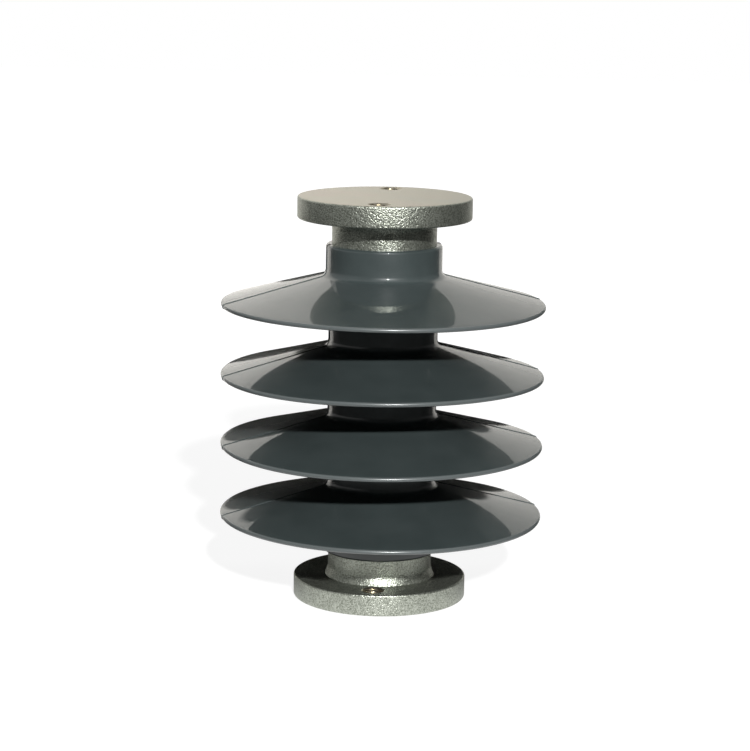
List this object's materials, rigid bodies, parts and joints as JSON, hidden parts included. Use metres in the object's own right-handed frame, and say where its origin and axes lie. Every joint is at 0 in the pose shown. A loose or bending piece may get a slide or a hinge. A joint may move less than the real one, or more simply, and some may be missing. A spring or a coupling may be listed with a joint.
{
  "type": "composite post insulator",
  "caption": "Composite post insulator: round steel end flanges with tapped holes, crimped on a glass-fibre rod inside a silicone rubber housing with wide sheds.",
  "frame": {"origin": "centre of the bottom fitting's outer face", "axes": "+Z along the insulator's axis, from the bottom fitting to the top one; the tapped holes of both flanges lie on the Y axis"},
  "size_m": [0.1714, 0.1714, 0.215],
  "materials": {
    "galvanised_steel": "hot-dip galvanised, satin with a fine grain",
    "glass_fibre_rod": "smooth, pultruded glass fibre in epoxy",
    "silicone_rubber": "glossy, dark slate grey",
    "seal_rubber": "matt black"
  },
  "bodies": {
    "root": {"bottom_fitting": "galvanised_steel", "top_fitting": "galvanised_steel", "core_rod": "glass_fibre_rod", "housing": "silicone_rubber", "bottom_seal_ring": "seal_rubber", "top_seal_ring": "seal_rubber"}
  },
  "joints": []
}
